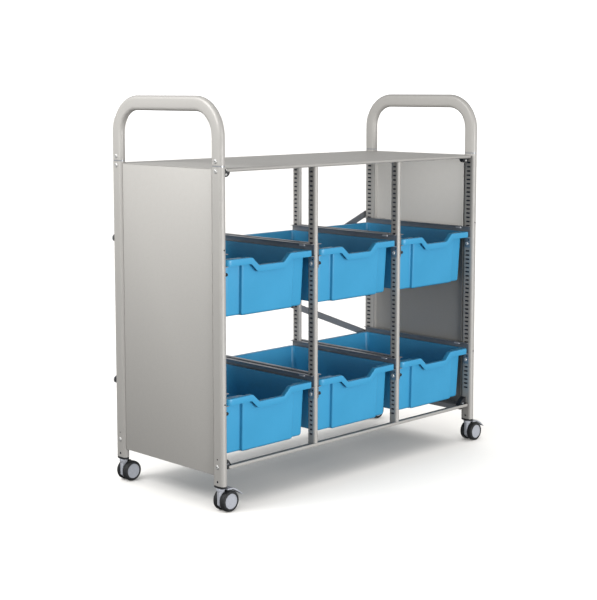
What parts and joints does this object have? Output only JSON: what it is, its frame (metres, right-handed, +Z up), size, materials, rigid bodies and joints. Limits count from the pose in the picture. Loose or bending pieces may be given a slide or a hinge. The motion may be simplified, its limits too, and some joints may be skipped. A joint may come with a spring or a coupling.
{
  "type": "book cart",
  "caption": "Wheeled book cart: slotted tube frame with end handles, side panels and a flat top, deep trays that slide out at the front, and swivel casters.",
  "frame": {"origin": "on the floor, under the middle of the cart's box with its casters trailing to the right", "axes": "+X along the cart's length towards the end that the casters trail to, +Y from the open front to the braced rear, +Z up"},
  "size_m": [1.108, 0.4562, 1.072],
  "materials": {
    "silver_powder_coat": "satin silver-grey powder coat with a fine texture",
    "dark_steel": "satin dark grey",
    "black_plastic": "moulded, matt",
    "blue_tray_plastic": "moulded, fine grain outside, smoother inside",
    "grey_caster_plastic": "moulded, satin",
    "tyre_rubber": "matt"
  },
  "bodies": {
    "frame": {"handle_left": "silver_powder_coat", "side_panel_left": "silver_powder_coat", "foot_channel_left": "dark_steel", "post_front_left": "silver_powder_coat", "handle_joint_front_left": "dark_steel", "foot_cap_front_left": "black_plastic", "post_rear_left": "silver_powder_coat", "handle_joint_rear_left": "dark_steel", "foot_cap_rear_left": "black_plastic", "handle_right": "silver_powder_coat", "side_panel_right": "silver_powder_coat", "foot_channel_right": "dark_steel", "post_front_right": "silver_powder_coat", "handle_joint_front_right": "dark_steel", "foot_cap_front_right": "black_plastic", "post_rear_right": "silver_powder_coat", "handle_joint_rear_right": "dark_steel", "foot_cap_rear_right": "black_plastic", "top_panel": "silver_powder_coat", "bottom_rail_front": "silver_powder_coat", "upright_front_1": "silver_powder_coat", "upright_front_2": "silver_powder_coat", "bottom_rail_rear": "silver_powder_coat", "upright_rear_1": "silver_powder_coat", "upright_rear_2": "silver_powder_coat", "corner_bracket_top_front_left": "black_plastic", "corner_bracket_top_rear_left": "black_plastic", "corner_bracket_top_front_right": "black_plastic", "corner_bracket_top_rear_right": "black_plastic", "corner_bracket_bottom_front_left": "black_plastic", "corner_bracket_bottom_rear_left": "black_plastic", "corner_bracket_bottom_front_right": "black_plastic", "corner_bracket_bottom_rear_right": "black_plastic", "brace_strap_falling": "dark_steel", "brace_strap_rising": "dark_steel", "brace_centre_bolt": "dark_steel", "runner_lower_left": "dark_steel", "runner_lower_right": "dark_steel", "runner_lower_middle_1": "dark_steel", "runner_lower_middle_2": "dark_steel", "runner_upper_left": "dark_steel", "runner_upper_right": "dark_steel", "runner_upper_middle_1": "dark_steel", "runner_upper_middle_2": "dark_steel"},
    "tray_lower_1": {"tray_lower_1": "blue_tray_plastic"},
    "tray_lower_2": {"tray_lower_2": "blue_tray_plastic"},
    "tray_lower_3": {"tray_lower_3": "blue_tray_plastic"},
    "tray_upper_1": {"tray_upper_1": "blue_tray_plastic"},
    "tray_upper_2": {"tray_upper_2": "blue_tray_plastic"},
    "tray_upper_3": {"tray_upper_3": "blue_tray_plastic"},
    "caster_front_left": {"caster_hood_front_left": "grey_caster_plastic"},
    "wheels_front_left": {"wheel_pair_front_left": "tyre_rubber"},
    "brake_front_left": {"brake_lever_front_left": "grey_caster_plastic"},
    "caster_rear_left": {"caster_hood_rear_left": "grey_caster_plastic"},
    "wheels_rear_left": {"wheel_pair_rear_left": "tyre_rubber"},
    "caster_front_right": {"caster_hood_front_right": "grey_caster_plastic"},
    "wheels_front_right": {"wheel_pair_front_right": "tyre_rubber"},
    "brake_front_right": {"brake_lever_front_right": "grey_caster_plastic"},
    "caster_rear_right": {"caster_hood_rear_right": "grey_caster_plastic"},
    "wheels_rear_right": {"wheel_pair_rear_right": "tyre_rubber"}
  },
  "joints": [
    {"name": "tray_lower_1_slide", "type": "slide", "parent": "frame", "child": "tray_lower_1", "axis": [0, -1, 0], "range_m": [0, 0.36]},
    {"name": "tray_lower_2_slide", "type": "slide", "parent": "frame", "child": "tray_lower_2", "axis": [0, -1, 0], "range_m": [0, 0.36]},
    {"name": "tray_lower_3_slide", "type": "slide", "parent": "frame", "child": "tray_lower_3", "axis": [0, -1, 0], "range_m": [0, 0.36]},
    {"name": "tray_upper_1_slide", "type": "slide", "parent": "frame", "child": "tray_upper_1", "axis": [0, -1, 0], "range_m": [0, 0.36]},
    {"name": "tray_upper_2_slide", "type": "slide", "parent": "frame", "child": "tray_upper_2", "axis": [0, -1, 0], "range_m": [0, 0.36]},
    {"name": "tray_upper_3_slide", "type": "slide", "parent": "frame", "child": "tray_upper_3", "axis": [0, -1, 0], "range_m": [0, 0.36]},
    {"name": "caster_front_left_swivel", "type": "hinge", "parent": "frame", "child": "caster_front_left", "pos_m": [-0.5435, -0.2025, 0.064], "axis": [0, 0, 1], "continuous": true},
    {"name": "wheels_front_left_spin", "type": "hinge", "parent": "caster_front_left", "child": "wheels_front_left", "pos_m": [-0.5245, -0.2025, 0.028], "axis": [0, 1, 0], "continuous": true},
    {"name": "brake_front_left_press", "type": "hinge", "parent": "caster_front_left", "child": "brake_front_left", "pos_m": [-0.5285, -0.2025, 0.059], "axis": [0, 1, 0], "range_deg": [0, 8]},
    {"name": "caster_rear_left_swivel", "type": "hinge", "parent": "frame", "child": "caster_rear_left", "pos_m": [-0.5435, 0.2025, 0.064], "axis": [0, 0, 1], "continuous": true},
    {"name": "wheels_rear_left_spin", "type": "hinge", "parent": "caster_rear_left", "child": "wheels_rear_left", "pos_m": [-0.5245, 0.2025, 0.028], "axis": [0, 1, 0], "continuous": true},
    {"name": "caster_front_right_swivel", "type": "hinge", "parent": "frame", "child": "caster_front_right", "pos_m": [0.4865, -0.2025, 0.064], "axis": [0, 0, 1], "continuous": true},
    {"name": "wheels_front_right_spin", "type": "hinge", "parent": "caster_front_right", "child": "wheels_front_right", "pos_m": [0.5055, -0.2025, 0.028], "axis": [0, 1, 0], "continuous": true},
    {"name": "brake_front_right_press", "type": "hinge", "parent": "caster_front_right", "child": "brake_front_right", "pos_m": [0.5015, -0.2025, 0.059], "axis": [0, 1, 0], "range_deg": [0, 8]},
    {"name": "caster_rear_right_swivel", "type": "hinge", "parent": "frame", "child": "caster_rear_right", "pos_m": [0.4865, 0.2025, 0.064], "axis": [0, 0, 1], "continuous": true},
    {"name": "wheels_rear_right_spin", "type": "hinge", "parent": "caster_rear_right", "child": "wheels_rear_right", "pos_m": [0.5055, 0.2025, 0.028], "axis": [0, 1, 0], "continuous": true}
  ]
}
